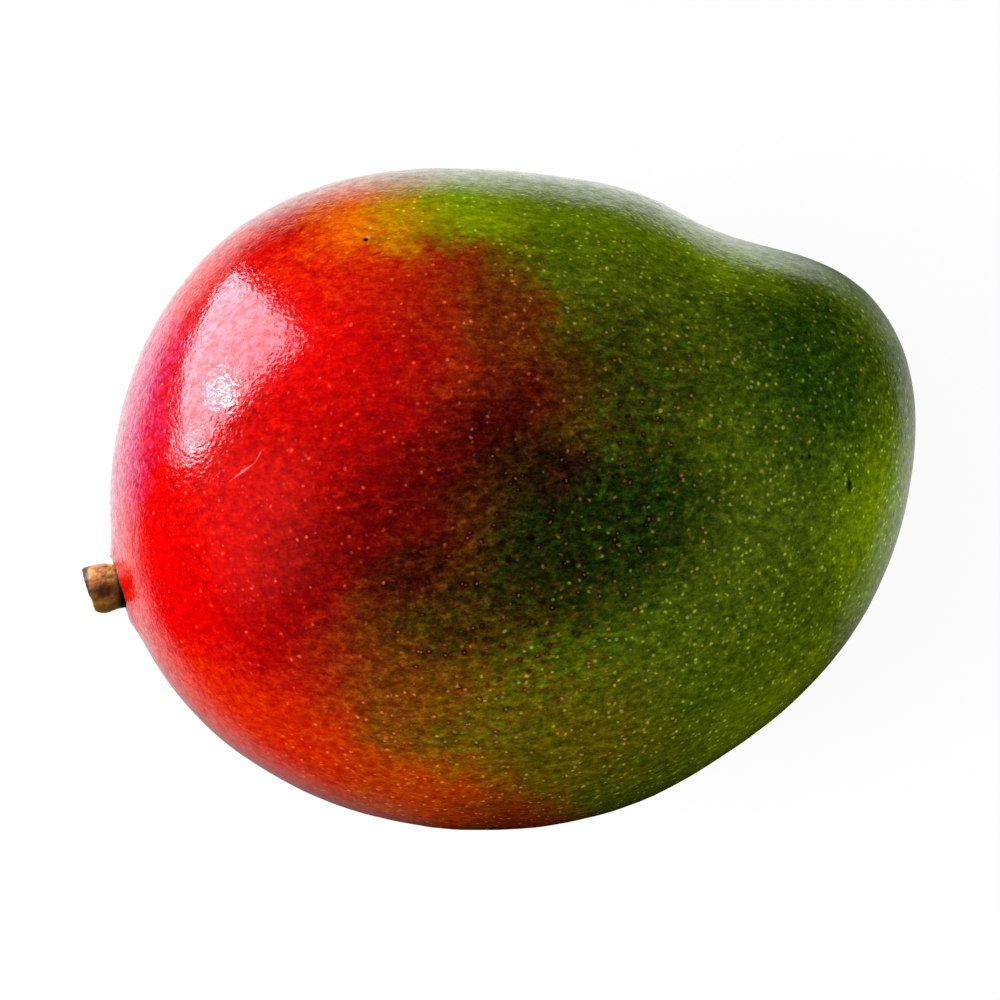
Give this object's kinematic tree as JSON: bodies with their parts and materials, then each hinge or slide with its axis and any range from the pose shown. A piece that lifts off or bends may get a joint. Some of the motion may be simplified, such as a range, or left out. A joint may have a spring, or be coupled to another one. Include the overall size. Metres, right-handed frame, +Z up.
{
  "type": "mango",
  "caption": "Ripe mango, whole, lying on a broad cheek: plump egg-shaped fruit with a shallow sinus and blunt beak near the apex, and the stub of its cut stalk.",
  "frame": {"origin": "middle of the small flat spot on the lower cheek, on the surface that the fruit rests on", "axes": "+Z up through the thickness of the fruit, +X along it from the stalk end to the apex, +Y across it to the ventral edge with the sinus and the beak"},
  "size_m": [0.1242, 0.0982, 0.0861],
  "materials": {
    "skin": "satin",
    "stalk_bark": "matte"
  },
  "bodies": {
    "root": {"fruit": "skin", "stalk": "stalk_bark"}
  },
  "joints": []
}
